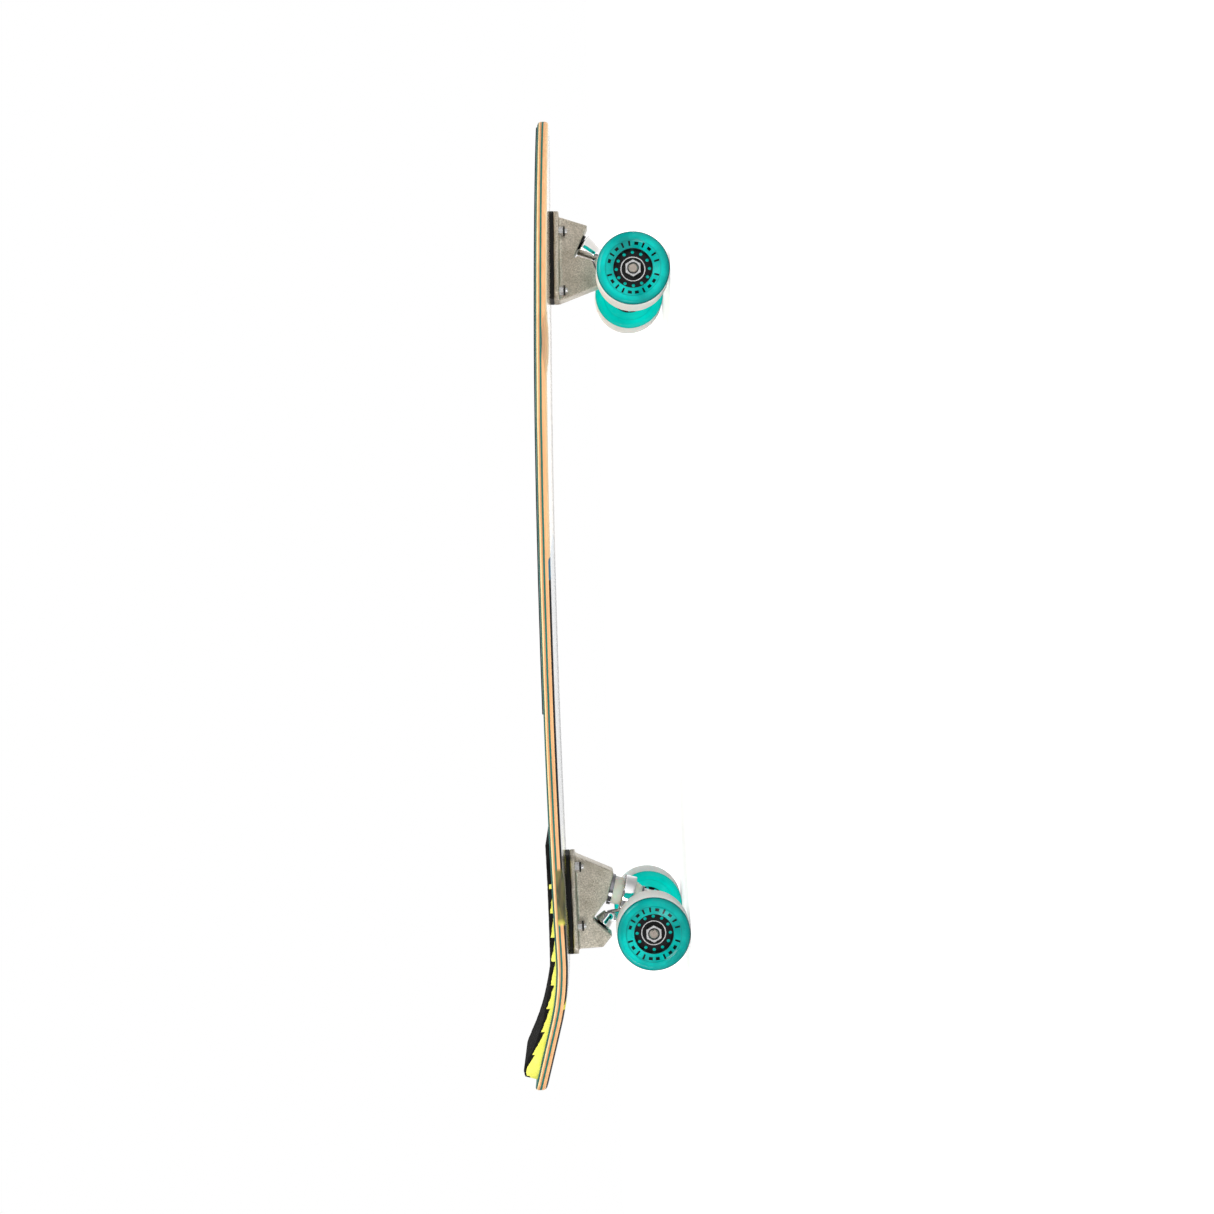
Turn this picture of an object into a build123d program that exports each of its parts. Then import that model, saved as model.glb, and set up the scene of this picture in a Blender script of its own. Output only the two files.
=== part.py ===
from build123d import *
from math import asin, cos, radians, sin, tan
import os

# A surf-style skateboard: a kicktail deck on two sprung trucks with four free-running wheels.
# Frame: +X to the nose, +Y to the left, +Z up. The origin is on the ground under the deck's middle.
# Every size is in millimetres.

# Deck: one pressed board, cambered between the trucks, flat over them, with a kicked tail
HALF_LENGTH = 442.5
DECK_THICKNESS = 10.5
NOSE_SLOPE = 1.25  # degrees, down to the nose
REAR_SLOPE = 0.95  # degrees, down to the tail
KICK_SLOPE = 14.5  # degrees, up to the tail
CAMBER_START_X = 235.0
CAMBER_START_Z = 118.4  # top of the deck on its centreline
CAMBER_END_X = -230.0
KICK_START_X = -314.0
KICK_RADIUS = 224.0
FLAT_HALF_WIDTH = 32.0
CONCAVE_RADIUS = 1722.0  # lifts the rails about 2 mm
HALF_WIDTH = 122.5
WIDEST_X = 60.0
NOSE_POWER = 3.2  # a superellipse forward of the widest point
TAIL_POWER = 4.0  # a power curve behind it
TAIL_HALF_WIDTH = 52.0
TAIL_CORNER_RADIUS = 18.0

# Wheel wells in the deck's underside
WELL_RADIUS = 65.0
WELL_DEPTH = 5.0
WELL_REACH = 38.0  # how far in from the rail a well runs out
WELL_RAIL_Y = 114.0
WELL_X = (229.5, -260.0)

# Grip sheet and tail pad
GRIP_THICKNESS = 1.0
GRIP_INSET = 5.0
GRIP_END_X = -98.0
PAD_INSET = 6.0
PAD_START_X = -212.0
PAD_END_X = -431.0
TREAD_THICKNESS = 1.8
PAD_TOP = (
    (-212, 125.5), (-250, 124.8), (-300, 124.7), (-330, 125.5), (-354, 129.2), (-375, 133.9),
    (-388, 138.1), (-400, 143.0), (-410, 148.0), (-420, 152.5), (-428, 151.9), (-431, 151.0),
)

# Wheels, bearings and axles
WHEEL_RADIUS = 32.5
WHEEL_OUTER_Y = 115.0
WHEEL_INNER_Y = 64.0
CORE_RADIUS = 17.4
CORE_RECESS = 8.0
DISH_RADIUS = 23.1
DISH_DEPTH = 2.2
SHOULDER_RADIUS = 28.0
LIP = 4.5
AXLE_RADIUS = 4.0
BEARING_OUTER_RADIUS = 11.0
BEARING_WIDTH = 7.0
BEARING_RECESS = 9.5  # from the tyre's face to the bearing's face
RACE_OUTER_BORE = 9.0
RACE_INNER_RADIUS = 6.0
SHIELD_SEAT_RADIUS = 10.1
SHIELD_BORE = 6.2
SHIELD_SEAT_DEPTH = 0.7
SHIELD_THICKNESS = 0.4
BALL_RADIUS = 1.98
BALL_PITCH_RADIUS = 7.5
BALL_CLEARANCE = 0.05
BALLS = 7
SPACER_RADIUS = 5.0
CORE_THROAT_RADIUS = 9.6
CORE_HUB_RADIUS = 13.0  # between the two flanges, where the urethane fills in
CORE_FLANGE = 3.5
CORE_HOLES = 12
CORE_HOLE_RADIUS = 1.5
CORE_HOLE_CIRCLE = 14.6
SPEED_WASHER_THICKNESS = 0.8
SPEED_WASHER_RADIUS = 5.4
AXLE_NUT_FLATS = 13.0
AXLE_NUT_HEIGHT = 6.2
AXLE_END_Y = 114.5

# Trucks
RISER_THICKNESS = 3.5
FLANGE_THICKNESS = 4.9
FLANGE_WIDTH = 57.0
FLANGE_CORNER = 8.0
HOUSING_HALF_WIDTH = 14.4
HOUSING_EDGE = 6.0
BOLT_SPACING_X = 54.0
BOLT_SPACING_Y = 41.3
BOLT_RADIUS = 2.38
BOLT_HOLE_RADIUS = 2.6
BOLT_HEAD_RADIUS = 4.6
BOLT_HEAD_HEIGHT = 2.6
BOLT_BELOW_FLANGE = 7.7
DECK_NUT_FLATS = 8.0
DECK_NUT_HEIGHT = 5.6
KINGPIN_RADIUS = 4.7625
KINGPIN_END = 40.0
KINGPIN_HEAD_FLATS = 14.0
KINGPIN_HEAD_HEIGHT = 6.0
KINGPIN_NUT_FLATS = 14.3
KINGPIN_NUT_START = 31.5
KINGPIN_NUT_HEIGHT = 6.5
RING_CENTRE = 17.5  # distance from the kingpin's seat to the hanger ring's centre
RING_RADIUS = 16.0
RING_BORE = 7.6
RING_HALF = 5.5
RING_SEAT_DEPTH = 1.5
CUP_RADIUS = 8.5
CUP_DEPTH = 12.0
PIVOT_RADIUS = 5.0
PIVOT_CLEARANCE = 0.1
PIVOT_DEPTH = 10.3  # from the lug's face to the tip of the pivot
ARM_GAP = 1.7  # from the lug's face back to the hanger's arm
BEAM_MIDDLE_RADIUS = 7.2
BEAM_END_RADIUS = 9.6
BEAM_NOSE_RADIUS = 7.6
BEAM_SHOULDER_Y = 58.0


def direction(x, z):
    """Return a unit vector in the board's middle plane."""
    return Vector(x, 0, z).normalized()


class Truck:
    """The places that one truck's parts share."""

    def __init__(self, name, bolts_x, flange, axle, seat, kingpin, steer, steer_reach, bushing):
        self.name = name
        self.bolts_x = bolts_x
        self.flange = flange
        self.axle = Vector(axle[0], 0, axle[1])
        self.seat = Vector(seat[0], 0, seat[1])
        self.kingpin = direction(*kingpin)
        self.steer = direction(*steer)
        self.centre = self.seat + self.kingpin * RING_CENTRE
        self.face = self.centre + self.steer * steer_reach
        self.arm_end = steer_reach - ARM_GAP
        self.pivot_end = steer_reach + PIVOT_DEPTH
        self.bushing = bushing


FRONT = Truck("front", 312.1, (277.0, 357.6), (290.1, 32.5), (302.5, 64.0), (0.342, -0.940),
              (0.5736, 0.8192), 36.3, 10.8)
REAR = Truck("rear", -271.7, (-324.0, -233.0), (-293.4, 32.5), (-267.5, 69.5), (-0.259, -0.966),
             (-0.743, 0.669), 38.0, 13.0)
TRUCKS = (FRONT, REAR)


# ---------- helpers ----------

def save(node, *solids):
    """Write one node; several solids stay separate."""
    whole = solids[0] if len(solids) == 1 else Compound(children=list(solids))
    export_step(whole, f"parts/{node}.step")


def rounded_face(corners):
    """Make a flat face from (x, y, corner radius) points."""
    face = make_face(Polyline(*[(x, y) for x, y, _ in corners], close=True))
    for x, y, radius in corners:
        if radius:
            corner = face.vertices().sort_by_distance((x, y, 0))[0]
            face = fillet(corner, radius)
    return face


def side_plate(corners, half_width):
    """Extrude an (x, z, corner radius) outline to both sides of the middle plane."""
    return extrude(Plane.XZ * rounded_face(corners), amount=half_width, both=True)


def along(origin, axis):
    """Return a plane whose local Z runs along an axis in the middle plane."""
    return Plane(origin=origin, x_dir=(0, 1, 0), z_dir=axis)


def turned(profile, plane):
    """Revolve an (r, t) outline about a plane's local Z."""
    face = make_face(Polyline(*profile, close=True))
    return plane * revolve(Plane.XZ * face, axis=Axis.Z)


def rod(radius, start, end, plane):
    """Make a round rod between two distances along a plane's local Z."""
    return plane * Pos(0, 0, (start + end) / 2) * Cylinder(radius, end - start)


def tube(outer, inner, start, end, plane):
    """Make a round tube between two distances along a plane's local Z."""
    return rod(outer, start, end, plane) - rod(inner, start - 1, end + 1, plane)


def hex_nut(flats, bore, start, end, plane, chamfer_size=0.7):
    """Make a hexagonal nut with its corners turned down at the outer end."""
    prism = extrude(RegularPolygon(flats / 2, 6, major_radius=False), amount=end - start)
    crown = Cone(flats, flats / 2 - 0.2, (flats / 2 + 0.2) * 0.6)
    height = end - start
    cap = Pos(0, 0, height - chamfer_size + (flats / 2 + 0.2) * 0.3) * crown
    skirt = Pos(0, 0, (height - chamfer_size) / 2) * Cylinder(flats, height - chamfer_size)
    nut = prism & (skirt + cap)
    return plane * Pos(0, 0, start) * (nut - Cylinder(bore, 4 * height))


# ---------- deck ----------

CAMBER_RADIUS = (CAMBER_START_X - CAMBER_END_X) / (sin(radians(NOSE_SLOPE)) + sin(radians(REAR_SLOPE)))
PEAK_X = CAMBER_START_X - CAMBER_RADIUS * sin(radians(NOSE_SLOPE))
PEAK_Z = CAMBER_START_Z + CAMBER_RADIUS * (1 - cos(radians(NOSE_SLOPE)))
CAMBER_END_Z = PEAK_Z - CAMBER_RADIUS * (1 - cos(radians(REAR_SLOPE)))
KICK_START_Z = CAMBER_END_Z - (CAMBER_END_X - KICK_START_X) * tan(radians(REAR_SLOPE))
KICK_LOW_X = KICK_START_X - KICK_RADIUS * sin(radians(REAR_SLOPE))
KICK_LOW_Z = KICK_START_Z - KICK_RADIUS * (1 - cos(radians(REAR_SLOPE)))
KICK_END_X = KICK_LOW_X - KICK_RADIUS * sin(radians(KICK_SLOPE))
KICK_END_Z = KICK_LOW_Z + KICK_RADIUS * (1 - cos(radians(KICK_SLOPE)))


def top_height(x):
    """Return the height of the deck's top centreline."""
    if x > CAMBER_START_X:
        return CAMBER_START_Z - (x - CAMBER_START_X) * tan(radians(NOSE_SLOPE))
    if x > CAMBER_END_X:
        return PEAK_Z - CAMBER_RADIUS + (CAMBER_RADIUS**2 - (x - PEAK_X)**2)**0.5
    if x > KICK_START_X:
        return CAMBER_END_Z - (CAMBER_END_X - x) * tan(radians(REAR_SLOPE))
    if x > KICK_END_X:
        return KICK_LOW_Z + KICK_RADIUS - (KICK_RADIUS**2 - (x - KICK_LOW_X)**2)**0.5
    return KICK_END_Z + (KICK_END_X - x) * tan(radians(KICK_SLOPE))


def section(low, high):
    """Make the deck's cross-section between two heights over its top: flat, with raised rails."""
    sweep_angle = asin(98 / CONCAVE_RADIUS)

    def at(offset, part):
        reach = CONCAVE_RADIUS - offset
        angle = sweep_angle * part
        return FLAT_HALF_WIDTH + reach * sin(angle), CONCAVE_RADIUS - reach * cos(angle)

    curves = []
    for side in (-1, 1):
        for offset in (low, high):
            start, middle, end = [(side * at(offset, part)[0], at(offset, part)[1]) for part in (0, 0.5, 1)]
            curves.append(ThreePointArc(start, middle, end))
        curves.append(Line((side * at(low, 1)[0], at(low, 1)[1]), (side * at(high, 1)[0], at(high, 1)[1])))
    for offset in (low, high):
        curves.append(Line((-FLAT_HALF_WIDTH, offset), (FLAT_HALF_WIDTH, offset)))
    return make_face(curves)


def slab_pieces(low, high):
    """Make the stretches of a layer between two heights over the deck's top, wider than the board."""
    nose_dir = direction(cos(radians(NOSE_SLOPE)), -sin(radians(NOSE_SLOPE)))
    rear_dir = direction(cos(radians(REAR_SLOPE)), sin(radians(REAR_SLOPE)))
    tail_dir = direction(cos(radians(KICK_SLOPE)), -sin(radians(KICK_SLOPE)))
    face = section(low, high)
    camber_start = Plane(origin=(CAMBER_START_X, 0, CAMBER_START_Z), x_dir=(0, 1, 0), z_dir=nose_dir) * face
    camber_end = Plane(origin=(CAMBER_END_X, 0, CAMBER_END_Z), x_dir=(0, 1, 0), z_dir=rear_dir) * face
    kick_start = Plane(origin=(KICK_START_X, 0, KICK_START_Z), x_dir=(0, 1, 0), z_dir=rear_dir) * face
    kick_end = Plane(origin=(KICK_END_X, 0, KICK_END_Z), x_dir=(0, 1, 0), z_dir=tail_dir) * face
    camber_axis = Axis((PEAK_X, 0, PEAK_Z - CAMBER_RADIUS), (0, -1, 0))
    kick_axis = Axis((KICK_LOW_X, 0, KICK_LOW_Z + KICK_RADIUS), (0, 1, 0))
    return [
        extrude(camber_start, amount=HALF_LENGTH - CAMBER_START_X + 20, dir=nose_dir),
        revolve(camber_start, camber_axis, NOSE_SLOPE + REAR_SLOPE),
        extrude(camber_end, amount=(CAMBER_END_X - KICK_START_X) / cos(radians(REAR_SLOPE)), dir=-rear_dir),
        revolve(kick_start, kick_axis, REAR_SLOPE + KICK_SLOPE),
        extrude(kick_end, amount=HALF_LENGTH + KICK_END_X + 40, dir=-tail_dir),
    ]


def layer(low, high, block):
    """Make the layer between two heights over the deck's top, trimmed by a block."""
    trimmed = [piece & block for piece in slab_pieces(low, high)]
    whole = trimmed[0]
    for piece in trimmed[1:]:
        if piece is not None:
            whole = piece if whole is None else whole + piece
    return whole


def plan_face(inset):
    """Make the board's outline from above, moved in by an inset."""
    nose_length = HALF_LENGTH - WIDEST_X - inset
    tail_length = HALF_LENGTH + WIDEST_X
    half_width = HALF_WIDTH - inset
    nose, side = [], []
    for step in range(11):
        angle = radians(9 * step)
        nose.append((WIDEST_X + nose_length * sin(angle)**(2 / NOSE_POWER), half_width * cos(angle)))
        part = step / 10
        taper = (HALF_WIDTH - TAIL_HALF_WIDTH) * part**TAIL_POWER
        side.append((WIDEST_X - tail_length * part, half_width - taper))
    corner = side[-1]
    left = [Spline(*nose, tangents=((1, 0), (0, -1))), Spline(*side)]
    right = [mirror(curve, about=Plane.XZ) for curve in left]
    tail = Line(corner, (corner[0], -corner[1]))
    face = make_face(left + right + [tail])
    for edge in (-1, 1):
        face = fillet(face.vertices().sort_by_distance((corner[0], edge * corner[1], 0))[0], TAIL_CORNER_RADIUS)
    return face


def prism(inset, low_x, high_x):
    """Make a tall block with the board's outline, moved in by an inset and cut to a length."""
    outline = extrude(Plane.XY.offset(50) * plan_face(inset), amount=150)
    window = Pos((low_x + high_x) / 2, 0, 125) * Box(high_x - low_x, 300, 200)
    return outline & window


def deck_plane(truck):
    """Return the deck's underside plane at a truck's bolts, with local Z up."""
    slope = -NOSE_SLOPE if truck is FRONT else REAR_SLOPE
    normal = direction(-sin(radians(slope)), cos(radians(slope)))
    top = Vector(truck.bolts_x, 0, top_height(truck.bolts_x))
    return Plane(origin=top - normal * DECK_THICKNESS, x_dir=(cos(radians(slope)), 0, sin(radians(slope))),
                 z_dir=normal)


def bolt_places(truck):
    """Return the four bolt axes of a truck as planes."""
    plane = deck_plane(truck)
    return [
        Plane(origin=plane.from_local_coords((x, y, 0)), x_dir=plane.x_dir, z_dir=plane.z_dir)
        for x in (-BOLT_SPACING_X / 2, BOLT_SPACING_X / 2)
        for y in (-BOLT_SPACING_Y / 2, BOLT_SPACING_Y / 2)
    ]


def make_deck():
    """Make the pressed board with its wells and countersunk bolt holes."""
    board = layer(-DECK_THICKNESS, 0, prism(0, -HALF_LENGTH - 5, HALF_LENGTH + 5))
    tilt = WELL_DEPTH / WELL_REACH
    for x in WELL_X:
        under = top_height(x) - DECK_THICKNESS + 2.0
        for side in (-1, 1):
            crown = Vector(x, side * WELL_RAIL_Y, under + WELL_DEPTH)
            axis = Vector(0, 1, side * tilt).normalized()
            normal = Vector(0, -side * tilt, 1).normalized()
            centre = crown - normal * WELL_RADIUS
            board -= Plane(origin=centre, x_dir=(1, 0, 0), z_dir=axis) * Cylinder(WELL_RADIUS, 110)
    for truck in TRUCKS:
        for place in bolt_places(truck):
            board -= rod(BOLT_HOLE_RADIUS, -1, DECK_THICKNESS + 1, place)
            board -= bolt_head(place, 0.05)
    return board


def bolt_head(place, clearance):
    """Make a flat bolt head flush with the deck's top."""
    top = DECK_THICKNESS
    profile = (
        (0, top - BOLT_HEAD_HEIGHT), (BOLT_RADIUS + clearance, top - BOLT_HEAD_HEIGHT),
        (BOLT_HEAD_RADIUS + clearance, top - 0.4), (BOLT_HEAD_RADIUS + clearance, top), (0, top),
    )
    return turned(profile, place)


def make_grip():
    """Make the abrasive sheet over the front of the deck, open at the bolt heads."""
    sheet = layer(0, GRIP_THICKNESS, prism(GRIP_INSET, GRIP_END_X, HALF_LENGTH))
    for place in bolt_places(FRONT):
        sheet -= rod(BOLT_HEAD_RADIUS + 0.4, DECK_THICKNESS - 1, DECK_THICKNESS + 3, place)
    return sheet


def make_pad_layers():
    """Make the tail pad's foam base and its tread, which share a top line."""
    top = [(x, z) for x, z in PAD_TOP]
    lower = [(x, z - TREAD_THICKNESS) for x, z in top]
    floor = [(PAD_END_X, 100), (PAD_START_X, 100)]
    block = prism(PAD_INSET, PAD_END_X, PAD_START_X)
    layers = []
    for outline in (lower + floor, top + lower[::-1]):
        face = make_face(Polyline(*outline, close=True))
        foam = extrude(Plane.XZ * face, amount=140, both=True) & block
        for piece in slab_pieces(-60, 0):
            foam -= piece
        for place in bolt_places(REAR):
            foam -= rod(6.5, DECK_THICKNESS - 2, DECK_THICKNESS + 30, place)
        layers.append(foam)
    return layers


# ---------- truck: parts that stay with the board ----------

def plate_outline(truck):
    """Make the rounded outline of the flange and riser on the truck's deck plane."""
    low, high = truck.flange
    middle = (low + high) / 2 - truck.bolts_x
    return Pos(middle, 0) * RectangleRounded(high - low, FLANGE_WIDTH, FLANGE_CORNER)


def make_plate(truck, low, high):
    """Make a drilled plate between two heights on the truck's deck plane."""
    plane = deck_plane(truck)
    plate = plane * Pos(0, 0, low) * extrude(plate_outline(truck), amount=high - low)
    for place in bolt_places(truck):
        plate -= rod(BOLT_HOLE_RADIUS, low - 1, high + 1, place)
    return plate


def housing_corners(truck):
    """Return the cast housing's side outline, with the kingpin's seat and the lug over the pivot."""
    seat_across = Vector(-truck.kingpin.Z, 0, truck.kingpin.X)
    if truck is FRONT:
        seat_out = truck.seat + seat_across * 11.0
        seat_in = truck.seat - seat_across * 13.5
        return (
            (353, 99, 0), (352.5, 95, 0), (344.2, 71, 0), (312, 86.1, 0), (317, 80.6, 0),
            (seat_out.X, seat_out.Z, 1), (seat_in.X, seat_in.Z, 3), (276, 97.6, 0), (276, 101, 0),
        )
    across = Vector(truck.steer.Z, 0, -truck.steer.X)
    tip = truck.face - across * 13.2
    inner = truck.face + across * 10.5
    seat_out = truck.seat + seat_across * 17.5
    seat_in = truck.seat - seat_across * 7.5
    return (
        (-234.5, 103, 0), (-234.5, 100.6, 0), (seat_out.X, seat_out.Z, 3), (seat_in.X, seat_in.Z, 1),
        (inner.X, inner.Z, 0), (tip.X, tip.Z, 0), (-319.5, 77, 1), (-320.5, 101, 0),
    )


def make_baseplate(truck):
    """Make the cast baseplate with its kingpin bore and pivot pocket."""
    top = -RISER_THICKNESS
    plate = make_plate(truck, top - FLANGE_THICKNESS, top)
    housing = side_plate(housing_corners(truck), HOUSING_HALF_WIDTH)
    base = plate + housing
    pin = along(truck.seat, truck.kingpin)
    base -= rod(KINGPIN_RADIUS, -70, 5, pin)
    base -= rod(KINGPIN_HEAD_FLATS / 2 + 1.6, -90, kingpin_head_end(truck), pin)
    base -= rod(CUP_RADIUS, -5, CUP_DEPTH, along(truck.face, truck.steer))
    return base


def kingpin_head_end(truck):
    """Return where the kingpin's head stops, measured from the seat."""
    return -30.0 if truck is FRONT else -26.0


def make_kingpin(truck):
    """Make the kingpin with its sunk hexagonal head."""
    pin = along(truck.seat, truck.kingpin)
    end = kingpin_head_end(truck)
    head = extrude(RegularPolygon(KINGPIN_HEAD_FLATS / 2, 6, major_radius=False), amount=KINGPIN_HEAD_HEIGHT)
    shank = turned(((0, end), (KINGPIN_RADIUS, end), (KINGPIN_RADIUS, KINGPIN_END - 1),
                    (KINGPIN_RADIUS - 1, KINGPIN_END), (0, KINGPIN_END)), pin)
    return shank + pin * Pos(0, 0, end - KINGPIN_HEAD_HEIGHT) * head


def make_pivot_cup(truck):
    """Make the urethane cup that fills the pocket, with a round-ended socket."""
    plane = along(truck.face, truck.steer)
    socket = PIVOT_RADIUS + PIVOT_CLEARANCE
    bottom = PIVOT_DEPTH - PIVOT_RADIUS
    cup = rod(CUP_RADIUS, 0, CUP_DEPTH, plane)
    cup -= rod(socket, -1, bottom, plane)
    cup -= plane * Pos(0, 0, bottom) * Sphere(socket)
    return cup


def make_bushings(truck):
    """Make the two urethane bushings that clamp the hanger's ring."""
    pin = along(truck.seat, truck.kingpin)
    ring_top = RING_CENTRE - RING_HALF + RING_SEAT_DEPTH
    ring_bottom = RING_CENTRE + RING_HALF - RING_SEAT_DEPTH
    radius = truck.bushing
    board = turned(((KINGPIN_RADIUS, 1.5), (radius, 1.5), (radius, 4.5), (radius - 0.8, ring_top),
                    (KINGPIN_RADIUS, ring_top)), pin)
    road = turned(((KINGPIN_RADIUS, ring_bottom), (radius - 1, ring_bottom), (9, 30), (KINGPIN_RADIUS, 30)), pin)
    return board, road


def make_washers(truck):
    """Make the washers outside the two bushings; the rear board-side one is cupped."""
    pin = along(truck.seat, truck.kingpin)
    flat = tube(truck.bushing + 0.7, KINGPIN_RADIUS, 0, 1.5, pin)
    if truck is REAR:
        flat += tube(truck.bushing + 1.4, KINGPIN_RADIUS, 0, 1.5, pin)
        flat += tube(truck.bushing + 1.4, truck.bushing + 0.2, 0, 3.2, pin)
    road = tube(9.6, KINGPIN_RADIUS, 30, 31.5, pin)
    return flat, road


# ---------- truck: the hanger and what turns with it ----------

def steer_point(truck, reach, side):
    """Return (x, z) at a reach along the steering axis and a distance to its road side."""
    across = Vector(truck.steer.Z, 0, -truck.steer.X)
    if truck is REAR:
        across = -across
    point = truck.centre + truck.steer * reach + across * side
    return point.X, point.Z


def make_beam(truck):
    """Make the round beam that carries the axle, waisted at its middle."""
    half = [
        (0, 0), (BEAM_MIDDLE_RADIUS, 0), (BEAM_MIDDLE_RADIUS, 14), (BEAM_END_RADIUS, 40),
        (BEAM_END_RADIUS, BEAM_SHOULDER_Y), (BEAM_NOSE_RADIUS, BEAM_SHOULDER_Y + 3),
        (BEAM_NOSE_RADIUS - 0.8, hanger_end()), (0, hanger_end()),
    ]
    beams = [turned(half, Plane(origin=truck.axle, x_dir=(1, 0, 0), z_dir=(0, side, 0))) for side in (-1, 1)]
    return beams[0] + beams[1]


def hanger_end():
    """Return how far out the hanger's end face is."""
    return WHEEL_INNER_Y + BEARING_RECESS - SPEED_WASHER_THICKNESS


def make_wing(truck):
    """Make the web that spreads from the ring to the beam, clear of the kingpin's nut."""
    lift = truck.steer * (7.2 if truck is REAR else 0)
    start = truck.centre + lift
    end = truck.axle + lift * 0.5
    toward = (end - start).normalized()
    reach = (end - start).length
    plane = Plane(origin=start, x_dir=toward, z_dir=toward.cross(Vector(0, 1, 0)))
    half = ((9, 13, 0), (reach - 6, 30, 0), (reach + 1, 46, 0))
    corners = half + tuple((x, -y, 0) for x, y, _ in half[::-1])
    return plane * extrude(rounded_face(corners), amount=2.8, both=True)


def make_hanger(truck):
    """Make the hanger: ring, web, beam, and the arm that ends in the pivot."""
    pin = along(truck.seat, truck.kingpin)
    low, high = RING_CENTRE - RING_HALF, RING_CENTRE + RING_HALF
    body = rod(RING_RADIUS, low, high, pin) + make_beam(truck) + make_wing(truck)
    if truck is FRONT:
        arm = ((0, 12), (6.3, 12), (6.3, 20), (10.4, truck.arm_end), (0, truck.arm_end))
        rib = [(14, -3), (21, -1), (21, 4), (9, 13), (3, 17), (1, 12)]
        rib_half = 5.0
    else:
        arm = ((0, 26), (6.2, 26), (8.4, truck.arm_end), (0, truck.arm_end))
        rib = [(29, -5.8), (22, -1), (15.5, 5), (6, 15), (-2, 26), (7, 34), (17, 20), (29, 5.8)]
        rib_half = 5.8
    body += turned(arm, along(truck.centre, truck.steer))
    corners = [(*steer_point(truck, reach, side), 0) for reach, side in rib]
    body += side_plate(corners, rib_half)
    clear = truck.bushing + 0.4
    body -= rod(clear, low - 14, low + RING_SEAT_DEPTH, pin)
    body -= rod(clear, high - RING_SEAT_DEPTH, high + 8.3, pin)
    body -= rod(RING_BORE, low - 2, high + 2, pin)
    body -= rod(AXLE_RADIUS, -90, 90, Plane(origin=truck.axle, x_dir=(1, 0, 0), z_dir=(0, 1, 0)))
    round_centre = truck.pivot_end - PIVOT_RADIUS
    nose = rod(PIVOT_RADIUS, truck.arm_end - 0.6, round_centre, along(truck.centre, truck.steer))
    tip = Pos(*(truck.centre + truck.steer * round_centre)) * Sphere(PIVOT_RADIUS)
    return body + nose + tip


def wheel_plane(truck, side):
    """Return an outward plane on a wheel's axis, with its origin in the middle plane."""
    return Plane(origin=truck.axle, x_dir=(1, 0, 0), z_dir=(0, side, 0))


def bearing_starts():
    """Return the inner end of each bearing in a wheel, out from the middle plane."""
    return WHEEL_INNER_Y + BEARING_RECESS, WHEEL_OUTER_Y - BEARING_RECESS - BEARING_WIDTH


def washer_starts():
    """Return the inner end of the two speed washers on one wheel's axle."""
    return hanger_end(), WHEEL_OUTER_Y - BEARING_RECESS


def ball_groove(start, plane):
    """Make the ring-shaped space that a bearing's balls run in."""
    return plane * Pos(0, 0, start + BEARING_WIDTH / 2) * Torus(BALL_PITCH_RADIUS, BALL_RADIUS + BALL_CLEARANCE)


def save_axle_group(truck):
    """Write the axle and what is clamped on it."""
    axle = Plane(origin=truck.axle, x_dir=(1, 0, 0), z_dir=(0, 1, 0))
    end = AXLE_END_Y
    profile = ((0, -end), (AXLE_RADIUS - 0.8, -end), (AXLE_RADIUS, -end + 0.8), (AXLE_RADIUS, end - 0.8),
               (AXLE_RADIUS - 0.8, end), (0, end))
    save(f"{truck.name}_axle", turned(profile, axle))
    rings, spacers, washers, nuts = [], [], [], []
    for side in (-1, 1):
        plane = wheel_plane(truck, side)
        inner, outer = bearing_starts()
        for start in (inner, outer):
            ring = tube(RACE_INNER_RADIUS, AXLE_RADIUS, start, start + BEARING_WIDTH, plane)
            rings.append(ring - ball_groove(start, plane))
        spacers.append(tube(SPACER_RADIUS, AXLE_RADIUS, inner + BEARING_WIDTH, outer, plane))
        for start in washer_starts():
            washers.append(tube(SPEED_WASHER_RADIUS, AXLE_RADIUS, start, start + SPEED_WASHER_THICKNESS, plane))
        seat = washer_starts()[1] + SPEED_WASHER_THICKNESS
        nuts.append(hex_nut(AXLE_NUT_FLATS, AXLE_RADIUS, seat, seat + AXLE_NUT_HEIGHT, plane))
    save(f"{truck.name}_bearing_inner_rings", *rings)
    save(f"{truck.name}_spacers", *spacers)
    save(f"{truck.name}_speed_washers", *washers)
    save(f"{truck.name}_axle_nuts", *nuts)


# ---------- wheels ----------

def make_tyre(plane):
    """Make the urethane tyre: dished faces and rounded lips."""
    low, high = WHEEL_INNER_Y, WHEEL_OUTER_Y
    lip_r = WHEEL_RADIUS - LIP
    flange_end = CORE_RECESS + CORE_FLANGE
    profile = [
        (CORE_RADIUS, low + DISH_DEPTH), (DISH_RADIUS, low + 1), (SHOULDER_RADIUS - 3, low), (lip_r, low),
        (WHEEL_RADIUS, low + LIP), (WHEEL_RADIUS, high - LIP), (lip_r, high), (SHOULDER_RADIUS - 3, high),
        (DISH_RADIUS, high - 1), (CORE_RADIUS, high - DISH_DEPTH), (CORE_RADIUS, high - flange_end),
        (CORE_HUB_RADIUS, high - flange_end), (CORE_HUB_RADIUS, low + flange_end), (CORE_RADIUS, low + flange_end),
    ]
    lines = [Line(a, b) for a, b in zip(profile, profile[1:] + profile[:1]) if abs(a[0] - b[0]) != LIP]
    lines.append(RadiusArc((lip_r, low), (WHEEL_RADIUS, low + LIP), -LIP))
    lines.append(RadiusArc((WHEEL_RADIUS, high - LIP), (lip_r, high), -LIP))
    return plane * revolve(Plane.XZ * make_face(lines), axis=Axis.Z)


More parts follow.
